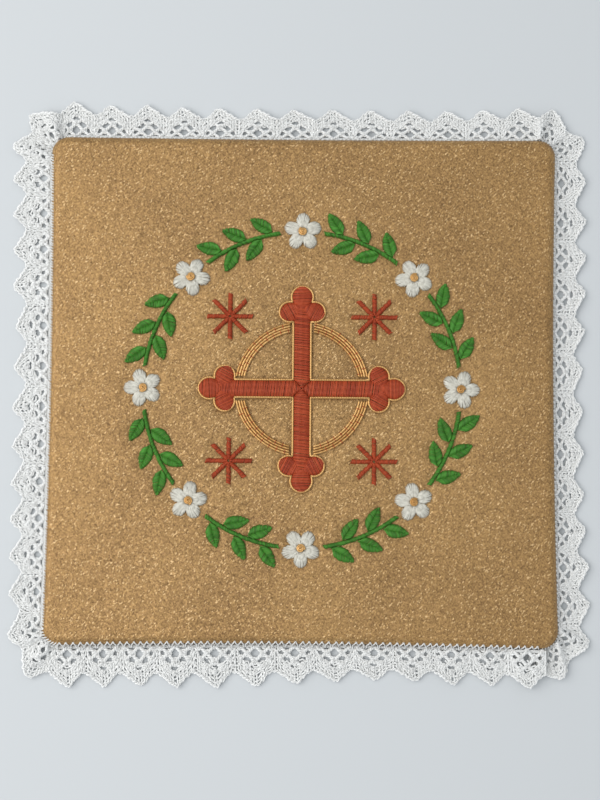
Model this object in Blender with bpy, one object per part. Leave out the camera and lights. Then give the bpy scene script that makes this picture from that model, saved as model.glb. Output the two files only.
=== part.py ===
"""A chalice pall: a stiff square pad covered in gold cloth, embroidered, with a white lace edging.

The pad lies on the floor plane with its underside centred on the origin, face up. X runs to its
right, Y to its far side and Z up. Lengths are in metres.
"""

import math

import bmesh
import bpy
from mathutils import Vector

MM = 0.001
QUARTER = math.pi / 2

# Pieces that touch on the real pall keep this much air between their meshes.
GAP = 0.3 * MM

# The pad: a board wrapped in cloth, whose sides draw in a little between the corners.
PAD_SIDE = 150 * MM
PAD_HEIGHT = 4.5 * MM
PAD_CORNER = 5 * MM
PAD_TOP_ROUND = 2.4 * MM
PAD_BOTTOM_ROUND = 1.0 * MM
STRAIGHT_HALF = PAD_SIDE / 2 - PAD_CORNER
SIDES = (
    {"side": "right", "bow": 0.9 * MM},
    {"side": "far", "bow": 0.3 * MM},
    {"side": "left", "bow": 0.7 * MM},
    {"side": "near", "bow": 0.9 * MM},
)

# The lace edging: one strip sewn round the pad by its straight foot, from corner to corner.
LACE_THICK = 1.2 * MM
LACE_FOOT_RADIUS = PAD_CORNER + GAP
LACE_HEAD = 9.5 * MM
CORNER_RUN = (LACE_FOOT_RADIUS + LACE_HEAD) * QUARTER
SIDE_RUN = 2 * STRAIGHT_HALF
LACE_RUN = 4 * (CORNER_RUN + SIDE_RUN)
LACE_START = -6.5 * MM
LACE_END = LACE_RUN + 1.2 * MM
LACE_FOOT_HEIGHT = 1.7 * MM
LACE_HEAD_HEIGHT = LACE_THICK / 2 + 0.1 * MM
LACE_WAVE = 0.9 * MM
JOIN_LIFT = 1.7 * MM
JOIN_RAMP = 12 * MM

# Where the points of the scallops lie: run is measured along the head from the near right corner,
# and extra is how much further out they stand than a plain point. Points between two marks are
# evenly spaced.
LACE_MARKS = (
    {"point": -1, "run": -3.0 * MM, "extra": 1.8 * MM},
    {"point": 0, "run": 6.7 * MM, "extra": 0.2 * MM},
    {"point": 1, "run": 20.1 * MM, "extra": -0.3 * MM},
    {"point": 3, "run": 42.4 * MM, "extra": -0.2 * MM},
    {"point": 5, "run": 63.4 * MM, "extra": -1.3 * MM},
    {"point": 8, "run": 100.0 * MM, "extra": -1.0 * MM},
    {"point": 10, "run": 123.0 * MM, "extra": 0.1 * MM},
    {"point": 12, "run": 144.4 * MM, "extra": -0.3 * MM},
    {"point": 13, "run": 156.5 * MM, "extra": -0.5 * MM},
    {"point": 15, "run": 182.0 * MM, "extra": 0.6 * MM},
    {"point": 17, "run": 203.2 * MM, "extra": -0.1 * MM},
    {"point": 18, "run": 214.1 * MM, "extra": -1.0 * MM},
    {"point": 22, "run": 259.8 * MM, "extra": -0.3 * MM},
    {"point": 24, "run": 282.3 * MM, "extra": -0.4 * MM},
    {"point": 28, "run": 325.4 * MM, "extra": 0.9 * MM},
    {"point": 29, "run": 338.3 * MM, "extra": 2.2 * MM},
    {"point": 30, "run": 348.0 * MM, "extra": 2.1 * MM},
    {"point": 31, "run": 357.5 * MM, "extra": 1.7 * MM},
    {"point": 34, "run": 389.8 * MM, "extra": 1.5 * MM},
    {"point": 35, "run": 402.0 * MM, "extra": 0.6 * MM},
    {"point": 37, "run": 426.1 * MM, "extra": 0.8 * MM},
    {"point": 39, "run": 448.2 * MM, "extra": 0.9 * MM},
    {"point": 42, "run": 480.3 * MM, "extra": 0.1 * MM},
    {"point": 43, "run": 492.6 * MM, "extra": 0.6 * MM},
    {"point": 44, "run": 504.8 * MM, "extra": 2.1 * MM},
    {"point": 45, "run": 516.0 * MM, "extra": 2.1 * MM},
    {"point": 48, "run": 547.4 * MM, "extra": 2.7 * MM},
    {"point": 50, "run": 570.8 * MM, "extra": 2.2 * MM},
    {"point": 53, "run": 605.4 * MM, "extra": 0.4 * MM},
    {"point": 56, "run": 639.2 * MM, "extra": 1.3 * MM},
    {"point": 57, "run": 649.7 * MM, "extra": 1.6 * MM},
    {"point": 58, "run": 661.0 * MM, "extra": 0.3 * MM},
)

# One scallop from valley to valley, with how far its head stands off the foot.
SCALLOP_POINT = 0.6
SCALLOP_UNEVEN = 0.03
SCALLOP = (
    {"along": 0.00, "reach": 6.8 * MM},
    {"along": 0.22, "reach": 7.5 * MM},
    {"along": 0.42, "reach": 8.8 * MM},
    {"along": SCALLOP_POINT, "reach": 9.6 * MM},
    {"along": 0.80, "reach": 8.1 * MM},
)

# Rows across the strip, as shares of its reach, and how much the thick trail stands up there.
LACE_ROWS = (
    {"share": 0.00, "relief": 0.00 * MM},
    {"share": 0.38, "relief": -0.12 * MM},
    {"share": 0.72, "relief": 0.18 * MM},
    {"share": 1.00, "relief": 0.00 * MM},
)

# Pleats that take up the foot at the corners. Corners are counted from the near right one, and
# each pleat runs from one angle round its corner at the foot to another at the head.
PLEATS = (
    {"corner": 0, "foot": 56, "head": 27, "height": 2.2 * MM, "spread": 14},
    {"corner": 0, "foot": 88, "head": 68, "height": 1.7 * MM, "spread": 12},
    {"corner": 1, "foot": 46, "head": 44, "height": 1.0 * MM, "spread": 14},
    {"corner": 1, "foot": 86, "head": 84, "height": 2.0 * MM, "spread": 12},
    {"corner": 2, "foot": 34, "head": 22, "height": 2.4 * MM, "spread": 13},
    {"corner": 2, "foot": 90, "head": 84, "height": 2.1 * MM, "spread": 13},
    {"corner": 3, "foot": 22, "head": 22, "height": 1.4 * MM, "spread": 12},
    {"corner": 3, "foot": 56, "head": 50, "height": 1.8 * MM, "spread": 14},
)

# The embroidery stands on the face of the pad, on this plane, and is padded to this height.
STITCH_BASE = PAD_HEIGHT + GAP
STITCH_SIDE = 0.45 * MM
STITCH_CROWN = 0.35 * MM
STITCH_INSET = 0.42 * MM

CROSS_ARM_HALF = 2.6 * MM
BUD_CENTRE = 24.0 * MM
BUD_CIRCLES = (
    {"along": -1.4 * MM, "aside": -3.7 * MM, "radius": 3.0 * MM},
    {"along": 3.0 * MM, "aside": 0.0 * MM, "radius": 3.2 * MM},
    {"along": -1.4 * MM, "aside": 3.7 * MM, "radius": 3.0 * MM},
)
BUD_STEPS = 24
BUD_SWEEP = 146

NIMBUS_INNER = 16.8 * MM
NIMBUS_OUTER = 19.8 * MM
NIMBUS_CLEAR = 0.7 * MM
NIMBUS_STEPS = 10

STAR_DISTANCE = 30.0 * MM
STAR_REACH = 6.6 * MM
STAR_HUB = 1.7 * MM
STAR_POINTS = 8
STAR_LINE_HALF = 0.55 * MM
STAR_INSET = 0.25 * MM

WREATH_RADIUS = 46.5 * MM
FLOWERS = 8
PETALS = 5
PETAL_REACH = 5.6 * MM
PETAL_NOTCH = 2.7 * MM
FLOWER_STEPS = 40
EYE_RADIUS = 1.4 * MM
EYE_STEPS = 10

STEM_HALF = 0.5 * MM
STEM_CLEAR = 6.6 * MM
LEAF_LENGTH = 7.4 * MM
LEAF_WIDTH = 3.8 * MM
LEAF_TILT = math.radians(40)
LEAF_NECK = 0.7 * MM
LEAF_STALK_HALF = 0.25 * MM
LEAF_STEPS = 4
# Leaves of a spray: side of the stem (+1 outer, -1 inner) and share of the stem's length.
SPRAY_LEAVES = (
    {"side": 1, "at": 0.10},
    {"side": 1, "at": 0.44},
    {"side": 1, "at": 0.78},
    {"side": -1, "at": 0.26},
    {"side": -1, "at": 0.60},
)

# Name: base colour, roughness and metallic value.
CLOTHS = {
    "gold_cloth": ((0.43, 0.27, 0.12, 1), 0.42, 0.55),
    "white_lace": ((0.80, 0.80, 0.77, 1), 0.85, 0.0),
    "red_thread": ((0.50, 0.035, 0.02, 1), 0.45, 0.0),
    "gold_thread": ((0.46, 0.25, 0.06, 1), 0.35, 0.6),
    "white_thread": ((0.78, 0.77, 0.72, 1), 0.5, 0.0),
    "green_thread": ((0.03, 0.21, 0.03, 1), 0.5, 0.0),
}


def clear_scene():
    for thing in list(bpy.data.objects):
        bpy.data.objects.remove(thing)


def cloth(name):
    """The material of that name, made the first time that it is asked for."""
    made = bpy.data.materials.get(name)
    if made:
        return made
    colour, roughness, metallic = CLOTHS[name]
    made = bpy.data.materials.new(name)
    made.use_nodes = True
    made.diffuse_color = colour
    shader = made.node_tree.nodes["Principled BSDF"]
    shader.inputs["Base Color"].default_value = colour
    shader.inputs["Roughness"].default_value = roughness
    shader.inputs["Metallic"].default_value = metallic
    return made


def finish_object(name, bm, material, parent=None, sharp=35):
    """Turns the bmesh into a smooth-shaded object with outward faces."""
    bmesh.ops.recalc_face_normals(bm, faces=bm.faces)
    mesh = bpy.data.meshes.new(name)
    bm.to_mesh(mesh)
    bm.free()
    mesh.shade_smooth()
    mesh.set_sharp_from_angle(angle=math.radians(sharp))
    mesh.materials.append(cloth(material))
    made = bpy.data.objects.new(name, mesh)
    bpy.context.scene.collection.objects.link(made)
    made.parent = parent
    return made


def smooth_step(value):
    value = min(1.0, max(0.0, value))
    return value * value * (3 - 2 * value)


def uneven(index, salt):
    """A fixed irregular number from -1 to 1 for each index."""
    wave = math.sin(index * 12.9898 + salt * 78.233) * 43758.5453
    return 2 * (wave - math.floor(wave)) - 1


def side_axes(side):
    """Outward and onward directions of a side, numbered as in SIDES."""
    angle = side * QUARTER
    outward = Vector((math.cos(angle), math.sin(angle), 0))
    onward = Vector((-math.sin(angle), math.cos(angle), 0))
    return outward, onward


def side_point(side, along, offset):
    """A point on a side, along it from its middle, with the side's inward bow."""
    outward, onward = side_axes(side)
    bow = SIDES[side]["bow"] * max(0.0, 1 - (along / STRAIGHT_HALF) ** 2)
    return outward * (PAD_SIDE / 2 + offset - bow) + onward * along, outward


def corner_point(corner, turn, offset):
    """A point on the rounded corner before side number corner; turn goes from 0 to 1."""
    outward, onward = side_axes(corner)
    angle = (corner - 1 + turn) * QUARTER
    facing = Vector((math.cos(angle), math.sin(angle), 0))
    return (outward - onward) * STRAIGHT_HALF + facing * (PAD_CORNER + offset), facing


def pad_outline(side_steps, corner_steps):
    points = []
    for side in range(4):
        points += [corner_point(side, step / corner_steps, 0)[0] for step in range(corner_steps)]
        for step in range(side_steps):
            along = STRAIGHT_HALF * (2 * step / side_steps - 1)
            points.append(side_point(side, along, 0)[0])
    return points


def build_pad(parent):
    """The stiff pad, rolled over at its upper and lower edges."""
    bm = bmesh.new()
    base = bm.faces.new([bm.verts.new(point) for point in pad_outline(8, 8)])
    lifted = bmesh.ops.extrude_face_region(bm, geom=[base])["geom"]
    top = [part for part in lifted if isinstance(part, bmesh.types.BMVert)]
    bmesh.ops.translate(bm, verts=top, vec=(0, 0, PAD_HEIGHT))
    for level, width, segments in ((PAD_HEIGHT, PAD_TOP_ROUND, 4), (0, PAD_BOTTOM_ROUND, 2)):
        rim = [
            edge
            for edge in bm.edges
            if all(abs(vert.co.z - level) < GAP / 10 for vert in edge.verts)
        ]
        bmesh.ops.bevel(
            bm,
            geom=rim,
            offset=width,
            segments=segments,
            profile=0.5,
            affect="EDGES",
            clamp_overlap=True,
        )
    return finish_object("pad", bm, "gold_cloth", parent)


def lace_station(run):
    """Foot point and outward direction of the strip after that length of its head."""
    if run < 0:
        return side_point(3, STRAIGHT_HALF + run, GAP)
    stage = min(3, int(run / (CORNER_RUN + SIDE_RUN)))
    rest = run - stage * (CORNER_RUN + SIDE_RUN)
    if rest < CORNER_RUN:
        return corner_point(stage, rest / CORNER_RUN, GAP)
    return side_point(stage, rest - CORNER_RUN - STRAIGHT_HALF, GAP)


def between_rows(table, column, value):
    """The two rows of a table that a value lies between, and how far it is from the first."""
    for low, high in zip(table, table[1:]):
        if value <= high[column]:
            break
    return low, high, (value - low[column]) / (high[column] - low[column])


def lace_reach(run):
    """How far the scalloped head stands off the foot."""
    low, high, blend = between_rows(LACE_MARKS, "run", run)
    point = low["point"] + blend * (high["point"] - low["point"])
    extra = low["extra"] + blend * (high["extra"] - low["extra"])
    index, share = divmod(point + SCALLOP_POINT, 1)
    whole = SCALLOP + ({"along": 1.0, "reach": SCALLOP[0]["reach"]},)
    low, high, blend = between_rows(whole, "along", share)
    reach = low["reach"] + blend * (high["reach"] - low["reach"])
    swell = math.sin(math.pi * share) ** 2
    return reach * (1 + SCALLOP_UNEVEN * swell * uneven(index, 1)) + extra


def pleat_height(run, share):
    """Height of the corner pleats, highest at the foot where the lace is gathered."""
    height = 0.0
    for pleat in PLEATS:
        angle = pleat["foot"] + (pleat["head"] - pleat["foot"]) * share
        middle = pleat["corner"] * (CORNER_RUN + SIDE_RUN) + angle / 90 * CORNER_RUN
        spread = pleat["spread"] / 90 * CORNER_RUN
        away = abs(run - middle) / spread
        if away < 1:
            height += pleat["height"] * math.cos(away * QUARTER) ** 1.5 * (1 - 0.55 * share)
    return height


def lace_height(run, share):
    """Height of the strip's middle surface: sewn up at the foot, waving on the floor at the head."""
    hang = (1 - share) ** 2
    rest = LACE_HEAD_HEIGHT + (LACE_FOOT_HEIGHT - LACE_HEAD_HEIGHT) * hang
    turn = 2 * math.pi * run / LACE_RUN
    wave = 0.5 + 0.28 * math.sin(turn * 18 + 0.4) + 0.22 * math.sin(turn * 49 + 2.0)
    lift = JOIN_LIFT * smooth_step((run - (LACE_END - JOIN_RAMP)) / (JOIN_RAMP * 0.4))
    return rest + LACE_WAVE * wave * share * share + pleat_height(run, share) + lift


def lace_runs():
    """Where the strip has its columns: its two ends, and the corners of each scallop."""
    runs = [LACE_START]
    for index in range(LACE_MARKS[0]["point"], LACE_MARKS[-1]["point"] + 1):
        for step in SCALLOP:
            point = index + step["along"] - SCALLOP_POINT
            low, high, blend = between_rows(LACE_MARKS, "point", point)
            run = low["run"] + blend * (high["run"] - low["run"])
            if LACE_START + LACE_THICK < run < LACE_END - LACE_THICK:
                runs.append(run)
    return runs + [LACE_END]


def build_lace(parent):
    """One strip of lace round the pad; its last end laps over its first at the near right corner."""
    bm = bmesh.new()
    columns = []
    for run in lace_runs():
        foot, outward = lace_station(run)
        reach = lace_reach(run)
        column = []
        for row in LACE_ROWS:
            place = foot + outward * (reach * row["share"])
            place.z = lace_height(run, row["share"]) + row["relief"]
            column.append(bm.verts.new(place))
        columns.append(column)
    for here, there in zip(columns, columns[1:]):
        for row in range(len(LACE_ROWS) - 1):
            bm.faces.new((here[row], here[row + 1], there[row + 1], there[row]))
    lace = finish_object("lace", bm, "white_lace", parent, sharp=60)
    thicken = lace.modifiers.new("thickness", "SOLIDIFY")
    thicken.thickness = LACE_THICK
    thicken.offset = 0
    return lace


def raise_motif(name, outline, material, parent, base=STITCH_BASE, inset=STITCH_INSET):
    """A satin-stitch shape raised from the face, with a crowned top where an inset is given."""
    bm = bmesh.new()
    face = bm.faces.new([bm.verts.new((x, y, base)) for x, y in outline])
    if face.normal.z < 0:
        face.normal_flip()
    lifted = bmesh.ops.extrude_face_region(bm, geom=[face])["geom"]
    verts = [part for part in lifted if isinstance(part, bmesh.types.BMVert)]
    height = STITCH_SIDE if inset else STITCH_SIDE + STITCH_CROWN
    bmesh.ops.translate(bm, verts=verts, vec=(0, 0, height))
    bmesh.ops.recalc_face_normals(bm, faces=bm.faces)
    if inset:
        top = [part for part in lifted if isinstance(part, bmesh.types.BMFace)]
        bmesh.ops.inset_region(
            bm, faces=top, thickness=inset, depth=STITCH_CROWN, use_even_offset=True
        )
    bmesh.ops.triangulate(bm, faces=bm.faces, quad_method="BEAUTY", ngon_method="BEAUTY")
    return finish_object(name, bm, material, parent, sharp=50)


def turned(points, angle, centre=(0.0, 0.0)):
    """The points turned by an angle about the origin and then moved to a centre."""
    cos, sin = math.cos(angle), math.sin(angle)
    return [
        (centre[0] + x * cos - y * sin, centre[1] + x * sin + y * cos) for x, y in points
    ]


def bud_reach(angle):
    """Distance from the bud's centre to the outline of its three round lobes."""
    far = 0.0
    for circle in BUD_CIRCLES:
        toward = circle["along"] * math.cos(angle) + circle["aside"] * math.sin(angle)
        across = circle["along"] * math.sin(angle) - circle["aside"] * math.cos(angle)
        if abs(across) < circle["radius"]:
            far = max(far, toward + math.sqrt(circle["radius"] ** 2 - across**2))
    return far


def cross_outline():
    """A cross of four equal arms, each ending in a bud of three lobes."""
    points = []
    sweep = math.radians(BUD_SWEEP)
    for arm in range(4):
        lobes = []
        for step in range(BUD_STEPS + 1):
            angle = sweep * (2 * step / BUD_STEPS - 1)
            reach = bud_reach(angle)
            lobes.append((BUD_CENTRE + reach * math.cos(angle), reach * math.sin(angle)))
        bud = [(x, y) for x, y in lobes if abs(y) > CROSS_ARM_HALF or x > BUD_CENTRE]
        neck = bud[0][0]
        lower = [(CROSS_ARM_HALF, -CROSS_ARM_HALF), (neck, -CROSS_ARM_HALF)]
        points += turned(lower + bud + [(neck, CROSS_ARM_HALF)], arm * QUARTER)
    return points


def nimbus_outline(quarter):
    """A quarter of the gold ring, stopping short of the arms of the cross."""
    start = math.asin((CROSS_ARM_HALF + NIMBUS_CLEAR) / NIMBUS_INNER)
    span = QUARTER - 2 * start
    angles = [start + span * step / NIMBUS_STEPS for step in range(NIMBUS_STEPS + 1)]
    outer = [(NIMBUS_OUTER * math.cos(a), NIMBUS_OUTER * math.sin(a)) for a in angles]
    inner = [(NIMBUS_INNER * math.cos(a), NIMBUS_INNER * math.sin(a)) for a in angles]
    return turned(outer + inner[::-1], quarter * QUARTER)


def star_outline(quarter):
    """A small star of straight lines, set between two arms of the cross."""
    spread = math.pi / STAR_POINTS
    points = []
    for point in range(STAR_POINTS):
        line = [
            (STAR_HUB, -STAR_LINE_HALF),
            (STAR_REACH, -STAR_LINE_HALF),
            (STAR_REACH, STAR_LINE_HALF),
            (STAR_HUB, STAR_LINE_HALF),
        ]
        points += turned(line, 2 * spread * point)
    middle = (quarter + 0.5) * QUARTER
    centre = (STAR_DISTANCE * math.cos(middle), STAR_DISTANCE * math.sin(middle))
    return turned(points, middle, centre)


def flower_place(index):
    angle = 2 * math.pi * index / FLOWERS
    return WREATH_RADIUS * math.cos(angle), WREATH_RADIUS * math.sin(angle)


def flower_outline(index):
    """An open flower of five round petals, one of them pointing away from the middle."""
    points = []
    facing = 2 * math.pi * index / FLOWERS
    for step in range(FLOWER_STEPS):
        angle = 2 * math.pi * step / FLOWER_STEPS
        petal = abs(math.cos(PETALS * angle / 2)) ** 0.7
        reach = PETAL_NOTCH + (PETAL_REACH - PETAL_NOTCH) * petal
        points.append((reach * math.cos(angle), reach * math.sin(angle)))
    return turned(points, facing, flower_place(index))


def eye_outline(index):
    angles = [2 * math.pi * step / EYE_STEPS for step in range(EYE_STEPS)]
    points = [(EYE_RADIUS * math.cos(a), EYE_RADIUS * math.sin(a)) for a in angles]
    return turned(points, 0, flower_place(index))


def leaf_outline():
    """A leaf along X, from its neck at the origin to its pointed tip and back."""
    lower = []
    for step in range(LEAF_STEPS):
        share = step / LEAF_STEPS
        half = max(LEAF_STALK_HALF, LEAF_WIDTH / 2 * math.sin(math.pi * share**0.8) ** 0.8)
        lower.append((LEAF_LENGTH * share, -half))
    return lower + [(LEAF_LENGTH, 0)] + [(x, -y) for x, y in reversed(lower)]


def spray_outline(index):
    """A curved stem between two flowers, with leaves on both sides."""
    between = 2 * math.pi / FLOWERS
    clear = STEM_CLEAR / WREATH_RADIUS
    first = between * index + clear
    length = between - 2 * clear

    def stem_point(share, side):
        angle = first + length * share
        radius = WREATH_RADIUS + side * STEM_HALF
        return radius * math.cos(angle), radius * math.sin(angle)

    def leaf_points(leaf):
        side, share = leaf["side"], leaf["at"]
        angle = first + length * share
        radius = WREATH_RADIUS + side * (STEM_HALF + LEAF_NECK / 2)
        root = (radius * math.cos(angle), radius * math.sin(angle))
        heading = angle + QUARTER - side * LEAF_TILT
        points = turned(leaf_outline(), heading, root)
        neck = side * LEAF_NECK / (WREATH_RADIUS * length)
        return [stem_point(share - neck, side)] + points + [stem_point(share + neck, side)]

    points = [stem_point(0, 1)]
    for leaf in SPRAY_LEAVES:
        if leaf["side"] > 0:
            points += leaf_points(leaf)
    points += [stem_point(1, 1), stem_point(1, -1)]
    for leaf in reversed(SPRAY_LEAVES):
        if leaf["side"] < 0:
            points += leaf_points(leaf)
    points.append(stem_point(0, -1))
    return points


def build_embroidery(parent):
    """The worked medallion: a budded cross with a ring, four stars and a flower wreath."""
    raise_motif("cross", cross_outline(), "red_thread", parent)
    for quarter in range(4):
        raise_motif(f"nimbus_{quarter + 1}", nimbus_outline(quarter), "gold_thread", parent)
        raise_motif(f"star_{quarter + 1}", star_outline(quarter), "red_thread", parent, inset=STAR_INSET)
    eye_base = STITCH_BASE + STITCH_SIDE + STITCH_CROWN + GAP
    for index in range(FLOWERS):
        number = index + 1
        raise_motif(f"spray_{number}", spray_outline(index), "green_thread", parent, inset=0)
        raise_motif(f"flower_{number}", flower_outline(index), "white_thread", parent)
        raise_motif(f"flower_eye_{number}", eye_outline(index), "gold_thread", parent, base=eye_base)


def main():
    clear_scene()
    pall = bpy.data.objects.new("pall", None)
    bpy.context.scene.collection.objects.link(pall)
    build_pad(pall)
    build_lace(pall)
    build_embroidery(pall)


main()
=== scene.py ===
# %% [markdown]
# # A chalice pall, thread by thread
# A chalice pall is a stiff square that covers the cup. This one is a board wrapped in gold cloth,
# with satin-stitch embroidery on its face and a bobbin-lace edging sewn round it.
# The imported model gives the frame: a pad, a strip of lace and the raised motifs, all in metres.
# A render of those solids looks like cut card, because the real thing is made of thread. So every
# thread that shows is built here as a thin closed tube, laid where its solid is.

# %% Load the frame
import math

import bpy
import numpy as np
from mathutils import Matrix, Vector
from mathutils.kdtree import KDTree


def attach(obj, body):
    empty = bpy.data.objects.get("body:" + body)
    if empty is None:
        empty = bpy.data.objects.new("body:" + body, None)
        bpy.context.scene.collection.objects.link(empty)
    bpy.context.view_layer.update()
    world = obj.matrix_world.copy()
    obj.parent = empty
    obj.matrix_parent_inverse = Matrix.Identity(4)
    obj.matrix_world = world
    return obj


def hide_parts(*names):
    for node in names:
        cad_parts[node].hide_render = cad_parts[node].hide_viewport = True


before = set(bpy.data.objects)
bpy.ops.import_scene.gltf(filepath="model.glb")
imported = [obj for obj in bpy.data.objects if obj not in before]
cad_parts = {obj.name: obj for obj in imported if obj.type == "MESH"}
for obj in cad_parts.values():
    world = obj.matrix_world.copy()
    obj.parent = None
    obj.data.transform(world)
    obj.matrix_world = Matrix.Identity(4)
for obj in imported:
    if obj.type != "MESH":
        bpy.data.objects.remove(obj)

MM = 0.001
QUARTER = math.pi / 2
FULL_TURN = 2 * math.pi
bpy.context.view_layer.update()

# %% [markdown]
# ## Camera, floor and light
# The photograph looks almost straight down, from a little on the near side, so the camera stands
# above the near half of the pall and leans by about four degrees.
# The light is a window's: broad, from the left, and weaker towards the right. One large area lamp
# gives that fall-off and the soft shadows beside the lace, and a pale sky fills the rest.

# %% Camera
AIM = Vector((-0.5, -3.3, 4.5)) * MM
CAMERA_DISTANCE = 400 * MM
CAMERA_LEAN = math.radians(4.3)
CAMERA_ROLL = math.radians(0.45)
FOCAL_LENGTH_MM = 61.5
SENSOR_MM = 36
NEAR_CLIP = 10 * MM


def new_object(name, data):
    """An object with its data, put in the scene."""
    made = bpy.data.objects.new(name, data)
    bpy.context.scene.collection.objects.link(made)
    return made


camera_data = bpy.data.cameras.new("camera")
camera_data.lens = FOCAL_LENGTH_MM
camera_data.sensor_fit = "VERTICAL"
camera_data.sensor_height = SENSOR_MM
camera_data.clip_start = NEAR_CLIP
camera = new_object("camera", camera_data)
toward_camera = Vector((0, -math.sin(CAMERA_LEAN), math.cos(CAMERA_LEAN)))
lean = Matrix.Rotation(CAMERA_LEAN, 4, "X")
roll = Matrix.Rotation(CAMERA_ROLL, 4, "Z")
camera.matrix_world = Matrix.Translation(AIM + toward_camera * CAMERA_DISTANCE) @ lean @ roll
bpy.context.scene.camera = camera
print("camera stands", round(camera.location.z, 3), "m above the floor")

# %% Window light and sky
KEY_PLACE = Vector((-430, 20, 620)) * MM
KEY_SIZE = 0.95
KEY_WATTS = 4.9
KEY_COLOUR = (1.0, 0.985, 0.965)
SKY_COLOUR = (0.93, 0.97, 1.0, 1)
SKY_STRENGTH = 0.67

key_data = bpy.data.lights.new("window", "AREA")
key_data.shape = "DISK"
key_data.size = KEY_SIZE
key_data.energy = KEY_WATTS
key_data.color = KEY_COLOUR
key = new_object("window", key_data)
key.location = KEY_PLACE
key.rotation_euler = (-KEY_PLACE).to_track_quat("-Z", "Y").to_euler()

sky = bpy.data.worlds.new("sky")
sky.use_nodes = True
sky.node_tree.nodes["Background"].inputs["Color"].default_value = SKY_COLOUR
sky.node_tree.nodes["Background"].inputs["Strength"].default_value = SKY_STRENGTH
bpy.context.scene.world = sky
bpy.context.scene.view_settings.view_transform = "Standard"
print("window lamp of", KEY_WATTS, "W at", [round(value, 2) for value in KEY_PLACE])

# %% Pale floor
FLOOR_HALF = 1.5
FLOOR_COLOUR = (0.57, 0.593, 0.61, 1)


def new_material(name, values):
    """A material with its shader; values are the ones that are the same all over it."""
    made = bpy.data.materials.new(name)
    made.use_nodes = True
    shader = made.node_tree.nodes["Principled BSDF"]
    for label, value in values.items():
        shader.inputs[label].default_value = value
    return made, made.node_tree, shader


floor_finish, _, _ = new_material("pale_floor", {"Roughness": 0.9, "Base Color": FLOOR_COLOUR})
floor_mesh = bpy.data.meshes.new("floor")
floor_corners = [(-1, -1), (1, -1), (1, 1), (-1, 1)]
floor_mesh.from_pydata([(x * FLOOR_HALF, y * FLOOR_HALF, 0) for x, y in floor_corners], [], [range(4)])
floor_mesh.materials.append(floor_finish)
floor = new_object("floor", floor_mesh)
print("floor is", 2 * FLOOR_HALF, "m wide")

# %% [markdown]
# ## Node groups for thread and cloth
# Every thread here has the same build: two or three plies laid round each other, dyed a little
# unevenly. A picture texture can't follow a thousand tubes, but each tube can carry numbers of its
# own. `tone` is one number for a whole thread, and `lay` counts the turns of its plies and says
# where round the thread a point lies. Two groups turn these numbers into a colour and a relief, and
# every thread material uses both with its own values.

# %% Helper that wires a shader group
def new_group(name, inputs, outputs):
    """An empty shader group: inputs is {name: (kind, value)} and outputs is {name: kind}."""
    group = bpy.data.node_groups.new(name, "ShaderNodeTree")
    for label, (kind, value) in inputs.items():
        socket = group.interface.new_socket(label, in_out="INPUT", socket_type=f"NodeSocket{kind}")
        socket.default_value = value
    for label, kind in outputs.items():
        group.interface.new_socket(label, in_out="OUTPUT", socket_type=f"NodeSocket{kind}")
    entry = group.nodes.new("NodeGroupInput")
    leave = group.nodes.new("NodeGroupOutput")
    return group, entry, leave


def join_nodes(tree, source, target):
    """Sets a socket from another socket, or from a plain value."""
    if isinstance(source, bpy.types.NodeSocket):
        tree.links.new(source, target)
    else:
        target.default_value = source


def add_node(tree, kind, inputs, **settings):
    """A shader node with its settings made, and its inputs joined or set."""
    node = tree.nodes.new(f"ShaderNode{kind}")
    for label, value in settings.items():
        setattr(node, label, value)
    for label, value in inputs.items():
        join_nodes(tree, value, node.inputs[label])
    return node


def math_node(tree, operation, first, second=0.0, third=0.0):
    return add_node(tree, "Math", {0: first, 1: second, 2: third}, operation=operation).outputs[0]


def vector_node(tree, operation, inputs):
    return add_node(tree, "VectorMath", inputs, operation=operation).outputs["Vector"]


def mix_colours(tree, share, first, second):
    inputs = {"Factor": share, "A": first, "B": second}
    return add_node(tree, "Mix", inputs, data_type="RGBA").outputs["Result"]


def noise_value(tree, coordinates, scale, detail):
    inputs = {"Vector": coordinates, "Scale": scale, "Detail": detail}
    return add_node(tree, "TexNoise", inputs).outputs["Fac"]


def millimetres(tree):
    """Object coordinates counted in millimetres, so that scales read as repeats per millimetre."""
    place = add_node(tree, "TexCoord", {}).outputs["Object"]
    return vector_node(tree, "SCALE", {0: place, "Scale": 1 / MM})


def parts_of(tree, vector):
    """The three sockets that a vector or a colour is split into."""
    return add_node(tree, "SeparateXYZ", {"Vector": vector}).outputs


print("wiring helpers ready")

# %% Group: uneven dye
DYE_SCALE = 0.16

dye_group, entry, leave = new_group(
    "uneven_dye",
    {"Dark": ("Color", (0, 0, 0, 1)), "Light": ("Color", (1, 1, 1, 1)), "Patches": ("Float", 0.3)},
    {"Color": "Color"},
)
tone = add_node(dye_group, "Attribute", {}, attribute_name="tone")
patch = noise_value(dye_group, millimetres(dye_group), DYE_SCALE, detail=3)
patch = math_node(dye_group, "SUBTRACT", patch, 0.5)
shift = math_node(dye_group, "MULTIPLY", patch, entry.outputs["Patches"])
share = math_node(dye_group, "ADD", tone.outputs["Fac"], shift)
dyed = mix_colours(dye_group, share, entry.outputs["Dark"], entry.outputs["Light"])
join_nodes(dye_group, dyed, leave.inputs["Color"])
print("group", dye_group.name, "has", len(dye_group.nodes), "nodes")

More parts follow.
